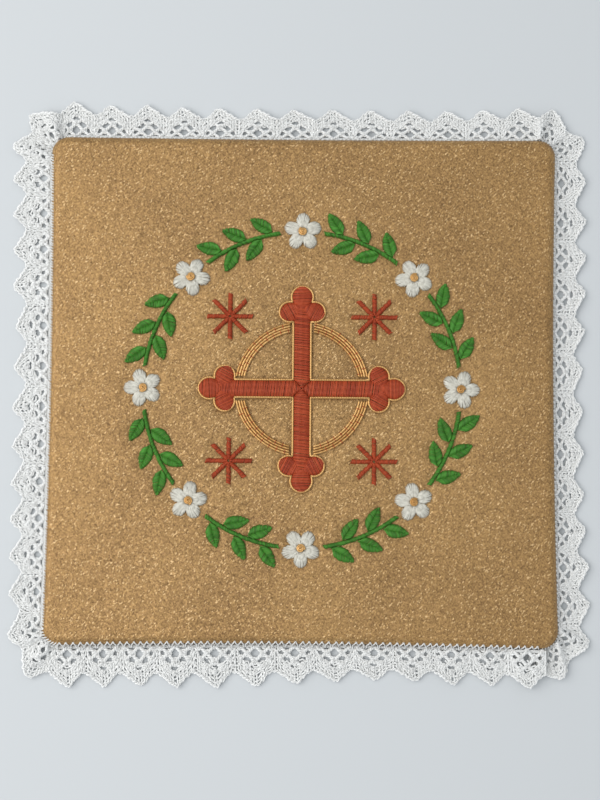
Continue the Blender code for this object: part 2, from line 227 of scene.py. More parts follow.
# %% Group: twisted plies
ply_group, entry, leave = new_group("twisted_plies", {"Plies": ("Float", 2.0)}, {"Height": "Float"})
lay = add_node(ply_group, "Attribute", {}, attribute_name="lay")
parts = parts_of(ply_group, lay.outputs["Vector"])
turn = math_node(ply_group, "MULTIPLY", parts["X"], FULL_TURN)
around = math_node(ply_group, "ARCTAN2", parts["Z"], parts["Y"])
around = math_node(ply_group, "MULTIPLY", around, entry.outputs["Plies"])
wave = math_node(ply_group, "SINE", math_node(ply_group, "ADD", turn, around))
join_nodes(ply_group, math_node(ply_group, "MULTIPLY_ADD", wave, 0.5, 0.5), leave.inputs["Height"])
print("group", ply_group.name, "has", len(ply_group.nodes), "nodes")

# %% [markdown]
# ## Thread materials
# Cotton is matt: its fibres scatter light in all directions, so it gets a high roughness and a
# little sheen. Rayon floss is smooth and lies flat, so its stitches shine along their length. The
# gold cord is a strip of metal foil wound on a core, so most of its colour is a reflection.

# %% Helper that makes a thread material
PLY_RELIEF = 0.03 * MM
DYE_PATCHES = 0.3


def thread_finish(name, dark, light, values):
    """A thread material, where dark and light are the two ends of its dye."""
    made, tree, shader = new_material(name, values)
    shades = {"Dark": (*dark, 1), "Light": (*light, 1), "Patches": DYE_PATCHES}
    dye = add_node(tree, "Group", shades, node_tree=dye_group)
    join_nodes(tree, dye.outputs["Color"], shader.inputs["Base Color"])
    plies = add_node(tree, "Group", {}, node_tree=ply_group)
    bump = add_node(tree, "Bump", {"Height": plies.outputs["Height"], "Distance": PLY_RELIEF})
    join_nodes(tree, bump.outputs["Normal"], shader.inputs["Normal"])
    return made


# Cotton fibres let light through, so the shade between the threads stays soft.
COTTON_LOOK = {
    "Roughness": 0.9,
    "Sheen Weight": 0.15,
    "Subsurface Weight": 0.5,
    "Subsurface Radius": (1.0, 1.0, 1.0),
    "Subsurface Scale": 0.8 * MM,
}
FLOSS_LOOK = {"Roughness": 0.5, "Specular IOR Level": 0.25}
WHITE_LOOK = {"Roughness": 0.5, "Sheen Weight": 0.1}
CORD_LOOK = {"Roughness": 0.36, "Metallic": 0.75}

cotton = thread_finish("lace_cotton", (0.75, 0.755, 0.74), (0.9, 0.905, 0.89), COTTON_LOOK)
red_floss = thread_finish("red_floss", (0.265, 0.03, 0.01), (0.5, 0.082, 0.026), FLOSS_LOOK)
green_floss = thread_finish("green_floss", (0.03, 0.115, 0.012), (0.08, 0.3, 0.036), FLOSS_LOOK)
white_floss = thread_finish("white_floss", (0.5, 0.475, 0.405), (0.71, 0.69, 0.605), WHITE_LOOK)
gold_cord = thread_finish("gold_cord", (0.42, 0.21, 0.06), (0.7, 0.43, 0.17), CORD_LOOK)
finishes = (cotton, red_floss, green_floss, white_floss, gold_cord)
print("thread materials:", [finish.name for finish in finishes])

# %% [markdown]
# ## Many threads in one mesh
# The lace alone has over a thousand threads. A curve object with a bevel would make each of them,
# but slowly and with too many faces. Instead one numpy step builds them all: each thread is a row
# of points, each point gets a ring of corners at right angles to the thread, and neighbouring rings
# are joined by faces. Both ends are capped, so every thread is a closed solid like the real one.

# %% Helper that turns rows of points into threads
SEED = 1570
random_numbers = np.random.default_rng(SEED)
STITCH_SIDES = 4
CORD_SIDES = 6
TONES = (0.15, 0.85)
COTTON_TURN = 0.7 * MM
FLOSS_TURN = 1.6 * MM


def raised(flat, height):
    """Flat points given a height: one number for all of them, or one for each."""
    height = np.broadcast_to(height, flat.shape[:-1])
    return np.concatenate((flat, height[..., None]), axis=-1)


def circle_points(radius, angle):
    """Flat points at a distance and a direction from the origin."""
    return np.stack((radius * np.cos(angle), radius * np.sin(angle)), axis=-1)


def unit(vectors):
    lengths = np.linalg.norm(vectors, axis=-1, keepdims=True)
    return vectors / np.maximum(lengths, 1e-12)


def ring_frames(paths, sides):
    """Directions from the middle of each thread to the corners of its rings."""
    along = unit(np.gradient(paths, axis=1))
    beside = unit(np.cross(along, (0.0, 0.0, 1.0)))
    above = np.cross(beside, along)
    angles = FULL_TURN * (np.arange(sides) + 0.5) / sides
    cos = np.cos(angles)[:, None]
    sin = np.sin(angles)[:, None]
    return beside[:, :, None] * cos + above[:, :, None] * sin, angles


def thread_faces(count, steps, sides):
    """Corner numbers of the side faces and the two caps of every thread."""
    ring = np.arange(count * steps).reshape(count, steps, 1) * sides
    here = np.arange(sides)
    beyond = (here + 1) % sides
    low, high = ring[:, :-1], ring[:, 1:]
    walls = np.stack((low + here, high + here, high + beyond, low + beyond), axis=-1)
    caps = np.stack((ring[:, 0] + here, ring[:, -1] + here[::-1]), axis=1)
    return walls.reshape(-1, 4), caps.reshape(-1, sides)


def mesh_from_faces(name, corners, *face_sets):
    """A smooth mesh from corner places and one or more arrays of faces of equal size."""
    mesh = bpy.data.meshes.new(name)
    sizes = np.concatenate([np.full(len(faces), faces.shape[1]) for faces in face_sets])
    loops = np.concatenate([faces.ravel() for faces in face_sets])
    mesh.vertices.add(len(corners))
    mesh.vertices.foreach_set("co", corners.ravel())
    mesh.loops.add(len(loops))
    mesh.loops.foreach_set("vertex_index", loops)
    mesh.polygons.add(len(sizes))
    mesh.polygons.foreach_set("loop_start", np.cumsum(sizes) - sizes)
    mesh.update(calc_edges=True)
    mesh.shade_smooth()
    return mesh


def thread_mesh(name, paths, radius, sides=STITCH_SIDES, ply_turn=COTTON_TURN, tones=None):
    """Threads along paths, an array of (threads, points, 3); tones is one number for each."""
    count, steps, _ = paths.shape
    outward, angles = ring_frames(paths, sides)
    thick = np.broadcast_to(radius, (count, steps))[:, :, None, None]
    corners = paths[:, :, None] + outward * thick
    mesh = mesh_from_faces(name, corners.reshape(-1, 3), *thread_faces(count, steps, sides))
    if tones is None:
        tones = random_numbers.uniform(*TONES, count)
    tone_layer = mesh.attributes.new("tone", "FLOAT", "POINT")
    tone_layer.data.foreach_set("value", np.repeat(tones, steps * sides))
    spans = np.linalg.norm(np.diff(paths, axis=1), axis=2)
    run = np.concatenate((np.zeros((count, 1)), np.cumsum(spans, axis=1)), axis=1)
    lay_values = np.zeros((count, steps, sides, 3))
    lay_values[..., 0] = (run / ply_turn)[:, :, None]
    lay_values[..., 1] = np.cos(angles)
    lay_values[..., 2] = np.sin(angles)
    lay_layer = mesh.attributes.new("lay", "FLOAT_VECTOR", "POINT")
    lay_layer.data.foreach_set("vector", lay_values.ravel())
    return mesh


def add_piece(name, mesh, finish, replaces=None):
    """Puts a mesh in the scene as a piece of the pall, in place of a solid if that is named."""
    mesh.materials.append(finish)
    piece = new_object(name, mesh)
    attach(piece, "root")
    if replaces:
        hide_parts(replaces)
    triangles = len(mesh.loops) - 2 * len(mesh.polygons)
    print(f"{name}: {triangles} triangles")
    return piece


def add_cotton(name, paths, radius, replaces=None, **options):
    """A piece of white cotton threads, such as every piece of the lace."""
    return add_piece(name, thread_mesh(name, paths, radius, **options), cotton, replaces)


print("a stitch of", STITCH_SIDES, "sides and a cord of", CORD_SIDES)

# %% [markdown]
# ## The edge of the pad
# Everything round the rim follows one line: the outline of the pad, a square with rounded corners
# whose sides draw in a little. The lace, the sewing and the gold cloth are all placed by how far
# they have gone round it and how far they stand off it, so the line comes first.

# %% Outline of the pad
PAD_HALF = 75 * MM
PAD_CORNER = 5 * MM
PAD_HEIGHT = 4.5 * MM
STRAIGHT_HALF = PAD_HALF - PAD_CORNER
SIDE_BOWS = np.array((0.9, 0.3, 0.7, 0.9)) * MM


def edge_place(stage, turn, along, offset):
    """A point at an offset from the outline.

    stage counts the sides from the right one, turn goes from 0 to 1 round the corner before that
    side, and along is the distance past the corner.
    """
    outward = circle_points(1, stage * QUARTER)
    onward = np.stack((-outward[..., 1], outward[..., 0]), axis=-1)
    facing = circle_points(1, (stage - 1 + turn) * QUARTER)
    bow = SIDE_BOWS[stage.astype(int)] * np.maximum(0, 1 - (along / STRAIGHT_HALF - 1) ** 2)
    place = (outward - onward) * STRAIGHT_HALF + onward * along[..., None]
    place += facing * (PAD_CORNER + offset)[..., None] - outward * bow[..., None]
    return place


print("pad is", 2 * PAD_HALF / MM, "mm square and", PAD_HEIGHT / MM, "mm thick")

# %% [markdown]
# ## How the lace lies
# Bobbin lace is made straight on a pillow and sewn on by its plain edge, the foot. At a corner the
# outer edge needs more length than the foot, so the foot is gathered and the lace rises in pleats.
# Here a point of the lace is given as on the pillow: which scallop it is in, and how far it is from
# the foot. One function carries it to the pad: round the outline, out from it, and up onto the same
# waves and pleats as the solid has.

# %% Sizes of the lace strip
GAP = 0.3 * MM
LACE_HEAD = 9.5 * MM
CORNER_RUN = (PAD_CORNER + GAP + LACE_HEAD) * QUARTER
SIDE_RUN = 2 * STRAIGHT_HALF
STAGE_RUN = CORNER_RUN + SIDE_RUN
LACE_RUN = 4 * STAGE_RUN
LACE_START = -6.5 * MM
LACE_END = LACE_RUN + 1.2 * MM
SCALLOP_POINT = 0.6

# Where the points of the scallops lie: point number, millimetres of run, millimetres of extra reach.
SCALLOP_MARKS = np.array(
    [
        (-1, -3.0, 1.8), (0, 6.7, 0.2), (1, 20.1, -0.3), (3, 42.4, -0.2),
        (5, 63.4, -1.3), (8, 100.0, -1.0), (10, 123.0, 0.1), (12, 144.4, -0.3),
        (13, 156.5, -0.5), (15, 182.0, 0.6), (17, 203.2, -0.1), (18, 214.1, -1.0),
        (22, 259.8, -0.3), (24, 282.3, -0.4), (28, 325.4, 0.9), (29, 338.3, 2.2),
        (30, 348.0, 2.1), (31, 357.5, 1.7), (34, 389.8, 1.5), (35, 402.0, 0.6),
        (37, 426.1, 0.8), (39, 448.2, 0.9), (42, 480.3, 0.1), (43, 492.6, 0.6),
        (44, 504.8, 2.1), (45, 516.0, 2.1), (48, 547.4, 2.7), (50, 570.8, 2.2),
        (53, 605.4, 0.4), (56, 639.2, 1.3), (57, 649.7, 1.6), (58, 661.0, 0.3),
    ]
)
MARK_POINTS = SCALLOP_MARKS[:, 0]
MARK_RUNS = SCALLOP_MARKS[:, 1] * MM
MARK_EXTRAS = SCALLOP_MARKS[:, 2] * MM
FIRST_POINT = np.interp(LACE_START, MARK_RUNS, MARK_POINTS)
LAST_POINT = np.interp(LACE_END, MARK_RUNS, MARK_POINTS)
scallops = LAST_POINT - FIRST_POINT
print("lace runs", round((LACE_END - LACE_START) / MM), "mm with", round(scallops), "scallops")

# %% Edges of one scallop
# Each row is a share of the scallop, from valley to valley, and millimetres from the foot.
HEAD_EDGE = np.array(
    [(0, 6.3), (0.09, 6.5), (0.22, 7.2), (0.34, 8.0), (0.45, 8.75), (0.53, 9.25), (0.58, 9.45)]
    + [(0.62, 9.4), (0.67, 9.0), (0.74, 8.25), (0.82, 7.4), (0.91, 6.6)]
)
TRAIL_EDGE = np.array([(0.02, 0.7), (0.09, 0.9), (0.155, 2.8), (0.53, 6.4), (0.905, 2.8), (0.97, 0.9)])
TRAIL_ROUNDING = (-0.024, -0.012, 0, 0.012, 0.024)
UNEVEN = 0.03

# Small swells of the edge: how many go to a scallop, and millimetres.
EDGE_SWELLS = ((4.3, 0.10), (6.9, 0.09), (10.7, 0.07))


def smooth_step(value):
    value = np.clip(value, 0, 1)
    return value * value * (3 - 2 * value)


def uneven(index, salt):
    """A fixed irregular number from -1 to 1 for each index."""
    wave = np.sin(index * 12.9898 + salt * 78.233) * 43758.5453
    return 2 * (wave - np.floor(wave)) - 1


def head_reach(point):
    """Distance from the foot to the scalloped edge, before the extra reach."""
    index = np.floor(point + SCALLOP_POINT)
    share = point + SCALLOP_POINT - index
    reach = np.interp(share, HEAD_EDGE[:, 0], HEAD_EDGE[:, 1], period=1) * MM
    swell = sum(depth * np.sin(FULL_TURN * count * point + count) for count, depth in EDGE_SWELLS) * MM
    return reach * (1 + UNEVEN * np.sin(math.pi * share) ** 2 * uneven(index, 1)) + swell


def trail_reach(point):
    """Distance from the foot to the inner edge of the thick trail, with its turns rounded."""
    nearby = [
        np.interp(point + SCALLOP_POINT + slip, TRAIL_EDGE[:, 0], TRAIL_EDGE[:, 1], period=1)
        for slip in TRAIL_ROUNDING
    ]
    return np.mean(nearby, axis=0) * MM


print("head reaches", HEAD_EDGE[:, 1].min(), "to", HEAD_EDGE[:, 1].max(), "mm")

# %% Height of the lace
# The foot's height on each side, counted from the right one.
FOOT_HEIGHTS = np.array((1.45, 1.5, 0.8, 1.1)) * MM
HEAD_HEIGHT = 0.45 * MM
WAVE_HEIGHT = 0.9 * MM

# Waves of the strip: how many go round the pad, where they start, and their share of the height.
STRIP_WAVES = ((18, 0.4, 0.28), (49, 2.0, 0.22))

# Where the strip's end laps over its start: its length, its lift and the ramp up to that.
JOIN_LAP = 12 * MM
JOIN_LIFT = 1.7 * MM
JOIN_RAMP = 4.8 * MM

# Each row is a pleat: corner, angle at the foot, angle at the head, height in millimetres, spread.
PLEATS = (
    (0, 56, 27, 2.2, 14),
    (0, 88, 68, 1.7, 12),
    (1, 46, 44, 1.0, 14),
    (1, 86, 84, 2.0, 12),
    (2, 34, 22, 2.4, 13),
    (2, 90, 84, 2.1, 13),
    (3, 22, 22, 1.4, 12),
    (3, 56, 50, 1.8, 14),
)
PLEAT_SHARPNESS = 1.5
PLEAT_FADE = 0.55


def lace_height(run, share, foot_height):
    """Height of the lace, where share goes from 0 at the foot to 1 at the head."""
    height = HEAD_HEIGHT + (foot_height - HEAD_HEIGHT) * (1 - share) ** 2
    turn = FULL_TURN * run / LACE_RUN
    wave = sum((size * np.sin(turn * count + phase) for count, phase, size in STRIP_WAVES), 0.5)
    height = height + WAVE_HEIGHT * wave * share**2
    for corner, foot_angle, head_angle, rise, spread in PLEATS:
        angle = foot_angle + (head_angle - foot_angle) * share
        middle = corner * STAGE_RUN + angle / 90 * CORNER_RUN
        away = np.minimum(1, abs(run - middle) / (spread / 90 * CORNER_RUN))
        crest = np.cos(away * QUARTER) ** PLEAT_SHARPNESS
        height = height + rise * MM * crest * (1 - PLEAT_FADE * share)
    return height + JOIN_LIFT * smooth_step((run - (LACE_END - JOIN_LAP)) / JOIN_RAMP)


print("lace rises in", len(PLEATS), "pleats")

# %% From the pillow to the pad
FULL_REACH = 9.4 * MM

# How far the foot is sewn from the pad on each side, counted from the right one.
FOOT_APART = np.array((0.0, 0.0, 0.0, 0.2)) * MM


def round_corner(values, stage, turn):
    """A value of each side, passing gradually from one to the next round their corner."""
    before, after = values[stage.astype(int) - 1], values[stage.astype(int)]
    return before + (after - before) * smooth_step(turn)


def lace_place(point, out, lift=0.0):
    """A place on the lace; point counts scallops, out is metres from the foot, lift metres up."""
    point, out = np.broadcast_arrays(np.clip(point, FIRST_POINT, LAST_POINT), out)
    run = np.interp(point, MARK_POINTS, MARK_RUNS)
    extra = np.interp(point, MARK_POINTS, MARK_EXTRAS)
    whole = np.where(run < 0, run + LACE_RUN, run)
    stage = np.clip(np.floor(whole / STAGE_RUN), 0, 3)
    rest = whole - stage * STAGE_RUN
    turn = np.clip(rest / CORNER_RUN, 0, 1)
    apart = round_corner(FOOT_APART, stage, turn)
    away = out + apart + (extra - apart) * out / FULL_REACH
    share = np.clip(away / (head_reach(point) + extra), 0, 1)
    place = edge_place(stage, turn, np.maximum(0, rest - CORNER_RUN), away + GAP)
    height = lace_height(run, share, round_corner(FOOT_HEIGHTS, stage, turn))
    return raised(place, height + lift)


print("lace foot starts at", [round(value / MM, 2) for value in lace_place(0.0, 0.0)])

# %% [markdown]
# ## The lace
# This edging is torchon lace. A thick cloth-stitch trail waves along the scallops, the triangles
# between it and the foot are filled with an open ground of twisted plaits, and a heavier pair of
# threads runs along the scalloped edge. Drawing it as a sheet with holes cut by a picture would lose
# the overs and unders that catch the light, so its threads are laid as a lacemaker lays them: the
# long passives first, the workers that weave across them, then plaits, foot and edge.

# %% Trail passives
TRAIL_PASSIVES = 6
TRAIL_SPREAD = 0.96
WORKERS = 12
WEAVE_LIFT = 0.23 * MM
TRAIL_STEPS = 40
PASSIVE_RADIUS = 0.32 * MM
WANDER = 0.2 * MM
WANDER_UP = 0.12 * MM
WANDER_WAVES = 6
WANDER_TURNS = (0.8, 6.0)
FIRST_PASSIVE = 0.3
PASSIVE_WEAVE = 0.6 * WEAVE_LIFT

# Near the point of a scallop the passives part, so that the lace is a little open there.
TIP_OPENING = 0.11
TIP_PLACE = 0.57
TIP_WIDTH = 0.15

trail_points = np.linspace(FIRST_POINT, LAST_POINT, int(scallops * TRAIL_STEPS))


def trail_out(point, share):
    """Distance from the foot at a share of the way across the trail."""
    inner = trail_reach(point)
    return inner + (head_reach(point) - inner) * share


def wander(point, reach=WANDER):
    """A slow, irregular drift to and fro along a thread, as the tension of the hand changes."""
    total = np.zeros_like(point)
    for _ in range(WANDER_WAVES):
        waves = random_numbers.uniform(*WANDER_TURNS)
        total += np.sin(FULL_TURN * waves * point + random_numbers.uniform(0, FULL_TURN))
    return reach * total / math.sqrt(WANDER_WAVES)


trail_share = np.mod(trail_points + SCALLOP_POINT, 1)
tip = TIP_OPENING * np.exp(-(((trail_share - TIP_PLACE) / TIP_WIDTH) ** 2))
passives = []
for index in range(TRAIL_PASSIVES):
    share = TRAIL_SPREAD * (index + FIRST_PASSIVE) / TRAIL_PASSIVES
    share = share - tip * math.sin(FULL_TURN * share)
    under = PASSIVE_WEAVE * np.cos(math.pi * ((trail_points + SCALLOP_POINT) * WORKERS + index))
    out = trail_out(trail_points, share) + wander(trail_points)
    passives.append(lace_place(trail_points, out, wander(trail_points, WANDER_UP) - under))
lace_trail = add_cotton("lace_trail", np.array(passives), PASSIVE_RADIUS, replaces="lace")

# %% Workers that weave through the trail
WORKER_RADIUS = 0.28 * MM
WORKER_LIFT = 0.12 * MM
WORKER_STEPS = 15
WORKER_LEAN = 0.03
WORKER_SLIP = 0.022

worker_numbers = np.arange(math.ceil(FIRST_POINT * WORKERS), math.floor(LAST_POINT * WORKERS))
across = np.linspace(0, 1, WORKER_STEPS)
slips = random_numbers.uniform(-WORKER_SLIP, WORKER_SLIP, (2, len(worker_numbers), 1))
worker_point = worker_numbers[:, None] / WORKERS + slips[0] + (WORKER_LEAN + slips[1]) * (across - 0.5)
over = WEAVE_LIFT * np.sin(math.pi * (across * TRAIL_PASSIVES + worker_numbers[:, None]))
workers = lace_place(worker_point, trail_out(worker_point, across), over + WORKER_LIFT)
lace_workers = add_cotton("lace_workers", workers, WORKER_RADIUS)

# %% Plaits of the open ground
PLAIT_RADIUS = 0.33 * MM
PLAIT_TWIST = 0.25 * MM
PLAIT_TURN = 1.5 * MM
PLAIT_STEP = 0.25 * MM
GROUND_CENTRE = 0.53
SCALLOP_WIDTH = 11.3 * MM

# How full the ground looks on each side: on the left and near ones the strip is pushed together.
GROUND_FULLNESS = np.array((1.0, 1.0, 1.24, 1.18))
ground_numbers = np.arange(math.ceil(FIRST_POINT), math.ceil(LAST_POINT))[:, None]
ground_middle = ground_numbers + GROUND_CENTRE - SCALLOP_POINT
ground_side = np.mod(np.interp(ground_middle, MARK_POINTS, MARK_RUNS), LACE_RUN) // STAGE_RUN
fullness = GROUND_FULLNESS[ground_side.astype(int)]

# Each plait is a row of corners: millimetres along from the triangle's middle, and from the foot.
PLAITS = (
    ((0, 0.2), (2.2, 2.0), (4.2, 3.4)),
    ((0, 0.2), (-2.2, 2.0), (-4.2, 3.4)),
    ((4.3, 0.4), (2.2, 2.0), (0, 4.0), (-2.3, 5.4)),
    ((-4.3, 0.4), (-2.2, 2.0), (0, 4.0), (2.3, 5.4)),
)


def even_points(corners, step):
    """Points at even steps along straight lines between corners, and the distance to each."""
    corners = np.array(corners, float) * MM
    spans = np.concatenate(((0,), np.cumsum(np.linalg.norm(np.diff(corners, axis=0), axis=1))))
    run = np.linspace(0, spans[-1], int(spans[-1] / step) + 1)
    return np.stack([np.interp(run, spans, corners[:, axis]) for axis in (0, 1)], axis=1), run


def plait_strands(corners):
    """Two strands of one plait in every triangle, twisted round each other."""
    line, run = even_points(corners, PLAIT_STEP)
    beside = unit(np.stack((-np.gradient(line[:, 1]), np.gradient(line[:, 0])), axis=1))
    strands = []
    for strand in (0, math.pi):
        turn = FULL_TURN * run / PLAIT_TURN + strand
        spot = line + beside * (PLAIT_TWIST * np.cos(turn))[:, None]
        point = ground_middle + spot[:, 0] / SCALLOP_WIDTH
        lift = PLAIT_TWIST * np.sin(turn) + PLAIT_RADIUS * (fullness - 1)
        strands.append(lace_place(point, spot[:, 1], lift))
    return np.concatenate(strands)


plaits = [plait_strands(corners) for corners in PLAITS]
plait_radii = PLAIT_RADIUS * np.tile(fullness, (4, 1))
lace_ground = [
    add_cotton("lace_short_plaits", np.concatenate(plaits[:2]), plait_radii),
    add_cotton("lace_long_plaits", np.concatenate(plaits[2:]), plait_radii),
]

# %% Knots where the plaits cross
# Where plaits cross they are worked together into a knot: place as above, and its radius.
KNOTS = (
    (0, 0.2, 0.6),
    (2.2, 1.95, 0.9), (-2.2, 1.95, 0.9),
    (0, 4.05, 1.1),
    (2.35, 5.0, 1.15), (-2.35, 5.0, 1.15),
    (4.4, 0.7, 0.65), (-4.4, 0.7, 0.65),
    (3.95, 3.2, 0.75), (-3.95, 3.2, 0.75),
    (0, 6.4, 0.65),
)
KNOT_THREAD = 0.29 * MM
KNOT_TURNS = 2.1
KNOT_STEPS = 17
KNOT_CORE = 0.1
KNOT_CURL = 0.22
CURL_TURNS = 1.7
KNOT_SINK = 0.2 * PLAIT_TWIST
KNOT_RISE = 1.4 * PLAIT_TWIST

knot_share = np.linspace(0, 1, KNOT_STEPS)
knots = []
for along, out, radius in KNOTS:
    start = random_numbers.uniform(0, FULL_TURN, ground_numbers.shape)
    angle = FULL_TURN * KNOT_TURNS * knot_share + start
    curl = 1 + KNOT_CURL * np.sin(CURL_TURNS * angle + ground_numbers)
    spread = radius * MM * fullness * (1 - (1 - KNOT_CORE) * knot_share) * curl
    point = ground_middle + (along * MM + spread * np.cos(angle)) / SCALLOP_WIDTH
    rise = KNOT_RISE * knot_share - KNOT_SINK + KNOT_THREAD * (fullness - 1)
    knots.append(lace_place(point, out * MM + spread * np.sin(angle), rise))
knot_radii = KNOT_THREAD * np.tile(fullness, (len(KNOTS), 1))
lace_knots = add_cotton("lace_knots", np.concatenate(knots), knot_radii)

# %% Cords where two scallops meet
VALLEY_RADIUS = 0.27 * MM
VALLEY_SPREAD = 0.55 * MM
VALLEY_TWIST = 0.22 * MM
VALLEY_TURNS = 1.3
VALLEY_STEPS = 18
VALLEY_SPAN = (0.1, 0.98)

valley_share = np.linspace(*VALLEY_SPAN, VALLEY_STEPS)
valley_cords = []
for strand in (0, FULL_TURN / 3, 2 * FULL_TURN / 3):
    turn = FULL_TURN * VALLEY_TURNS * valley_share + strand + ground_numbers
    point = ground_numbers - SCALLOP_POINT + VALLEY_SPREAD / SCALLOP_WIDTH * np.cos(turn)
    out = head_reach(point) * valley_share
    valley_cords.append(lace_place(point, out, VALLEY_TWIST * np.sin(turn)))
lace_valleys = add_cotton("lace_valleys", np.concatenate(valley_cords), VALLEY_RADIUS)

# %% Foot of the lace
FOOT_LINES = np.array((0.05, 0.28, 0.5)) * MM
FOOT_WANDER = 0.05 * MM
FOOT_RADIUS = 0.17 * MM
FOOT_STEPS = 18
CROSSING_PITCH = 0.62 * MM
CROSSING_START = -0.05 * MM
CROSSING_REACH = 0.68 * MM
CROSSING_LEAN = 0.02
CROSSING_LIFT = 0.1 * MM
CROSSING_WAVES = 4
CROSSING_STEPS = 7

foot_points = np.linspace(FIRST_POINT, LAST_POINT, int(scallops * FOOT_STEPS))
foot_lines = [lace_place(foot_points, out + wander(foot_points, FOOT_WANDER)) for out in FOOT_LINES]
crossings = np.arange(LACE_START + GAP, LACE_END - GAP, CROSSING_PITCH)
share = np.linspace(0, 1, CROSSING_STEPS)
point = np.interp(crossings, MARK_RUNS, MARK_POINTS)[:, None] + CROSSING_LEAN * share
lift = CROSSING_LIFT * np.sin(math.pi * (share * CROSSING_WAVES + np.arange(len(crossings))[:, None]))
foot_crossings = lace_place(point, CROSSING_REACH * share + CROSSING_START, lift)
lace_foot = [
    add_cotton("lace_foot_lines", np.array(foot_lines), FOOT_RADIUS),
    add_cotton("lace_foot_crossings", foot_crossings, FOOT_RADIUS),
]

# %% Edge cord along the scallops
EDGE_RADIUS = 0.2 * MM
FLANK_EXTRA = 0.19 * MM
FLANK_LIFT = 0.28 * MM
FLANK_POWER = 0.6
EDGE_TWIST = 0.17 * MM
EDGE_TURNS = 7
EDGE_STEPS = 46
EDGE_BUMPS = 8
EDGE_BUMP = 0.1 * MM
# The edge cord gets a lighter tone than the other threads: a painted highlight for the light that its
# raised flanks catch.
EDGE_HIGHLIGHT_TONE = 0.9

edge_points = np.linspace(FIRST_POINT, LAST_POINT, int(scallops * EDGE_STEPS))
edge_share = np.mod(edge_points + SCALLOP_POINT, 1)
flank = np.sin(math.pi * np.clip(edge_share / SCALLOP_POINT, 0, 1)) ** FLANK_POWER
edge_strands = []
for strand in (0, math.pi):
    turn = FULL_TURN * EDGE_TURNS * edge_points + strand
    bumps = EDGE_BUMP * np.sin(FULL_TURN * EDGE_BUMPS * edge_points)
    out = head_reach(edge_points) + bumps + EDGE_TWIST * np.cos(turn)
    edge_strands.append(lace_place(edge_points, out, EDGE_TWIST * np.sin(turn) + FLANK_LIFT * flank))
edge_radii = EDGE_RADIUS + FLANK_EXTRA * flank
# Both strands of the cord take the painted highlight tone.
lace_edge = add_cotton("lace_edge", np.array(edge_strands), edge_radii, tones=np.full(2, EDGE_HIGHLIGHT_TONE))

# %% Turned ends of the strip
END_RADIUS = 0.34 * MM
END_LIFT = 0.05 * MM
END_STEPS = 40

end_share = np.linspace(0, 1, END_STEPS)
ends = []
for point in (FIRST_POINT, LAST_POINT):
    point = np.full(END_STEPS, point)
    ends.append(lace_place(point, head_reach(point) * end_share, END_LIFT))
lace_ends = add_cotton("lace_ends", np.array(ends), END_RADIUS, sides=CORD_SIDES)

# %% [markdown]
# ## Embroidery
# Satin stitch covers a shape with straight stitches that lie side by side and go down through the
# cloth at its two edges. Each stitch here is a thread that rises out of the cloth, arches over and
# dips in again, a little more than a thread's width from the next, with its ends a little uneven as
# a hand leaves them. The stitches run across a stem, out from the eye of a flower and slantwise from
# the midrib of a leaf, because floss shines along its length and the direction shows in the light.

# %% Helper that lays satin stitches
STITCH_RADIUS = 0.2 * MM
STITCH_PITCH = 0.35 * MM
STITCH_DIP = 0.22 * MM
END_JITTER = 0.09 * MM
ARCH_FLATNESS = 4
ARCH_FULLNESS = 0.6
stitch_ends = []


def turned(points, angle, centre=(0.0, 0.0)):
    """Flat points turned about the origin and then moved to a centre."""
    points = np.asarray(points, float)
    cos, sin = math.cos(angle), math.sin(angle)
    x = points[..., 0] * cos - points[..., 1] * sin + centre[0]
    y = points[..., 0] * sin + points[..., 1] * cos + centre[1]
    return np.stack((x, y), axis=-1)


def satin_paths(stitches, rise, angle=0.0, centre=(0.0, 0.0), steps=6):
    """Arched stitches, turned and moved to a centre; stitches holds their starts and their ends."""
    starts, ends = (turned(points, angle, centre) for points in stitches)
    starts = starts + random_numbers.uniform(-END_JITTER, END_JITTER, starts.shape)
    ends = ends + random_numbers.uniform(-END_JITTER, END_JITTER, ends.shape)
    stitch_ends.extend((starts, ends))
    share = (1 - np.cos(math.pi * np.linspace(0, 1, steps))) / 2
    arch = (1 - (2 * share - 1) ** ARCH_FLATNESS) ** ARCH_FULLNESS
    flat = starts[:, None] + (ends - starts)[:, None] * share[:, None]
    return raised(flat, PAD_HEIGHT - STITCH_DIP + (rise + STITCH_DIP) * arch)


def straight_stitches(along, half, lean=0.0):
    """Stitches across a line, half of each on either side of it and leaning along it."""
    return np.stack((along - lean, -half), axis=-1), np.stack((along + lean, half), axis=-1)


def add_stitches(name, paths, finish, radius=STITCH_RADIUS, sides=STITCH_SIDES):
    """The threads of one motif, in place of its raised solid."""
    mesh = thread_mesh(name, paths, radius, sides, FLOSS_TURN)
    return add_piece(f"{name}_threads", mesh, finish, replaces=name)


print("a satin stitch is", 2 * STITCH_RADIUS / MM, "mm thick")

# %% Red cross: arms and buds
ARM_HALF = 2.6 * MM
ARM_LEAN = 0.12
ARM_RISE = 0.78 * MM
BUD_CENTRE = 24.0 * MM
SIDE_LOBE = {"along": -1.4 * MM, "aside": 3.7 * MM, "radius": 3.0 * MM}
SIDE_HEADING = math.radians(118)
SIDE_RISE = 0.84 * MM
TIP_LOBE = {"along": 3.0 * MM, "aside": 0.0, "radius": 3.2 * MM}
TIP_RISE = 0.98 * MM
ARM_END = BUD_CENTRE + 1.6 * MM
CROSS_STEPS = 7


def lobe_stitches(lobe, side, heading):
    """Stitches across one round lobe, square to its heading."""
    radius = lobe["radius"]
    along = np.arange(-radius + STITCH_PITCH / 2, radius, STITCH_PITCH)
    stitches = straight_stitches(along, np.sqrt(radius**2 - along**2))
    centre = (BUD_CENTRE + lobe["along"], side * lobe["aside"])
    return [turned(points, heading, centre) for points in stitches]


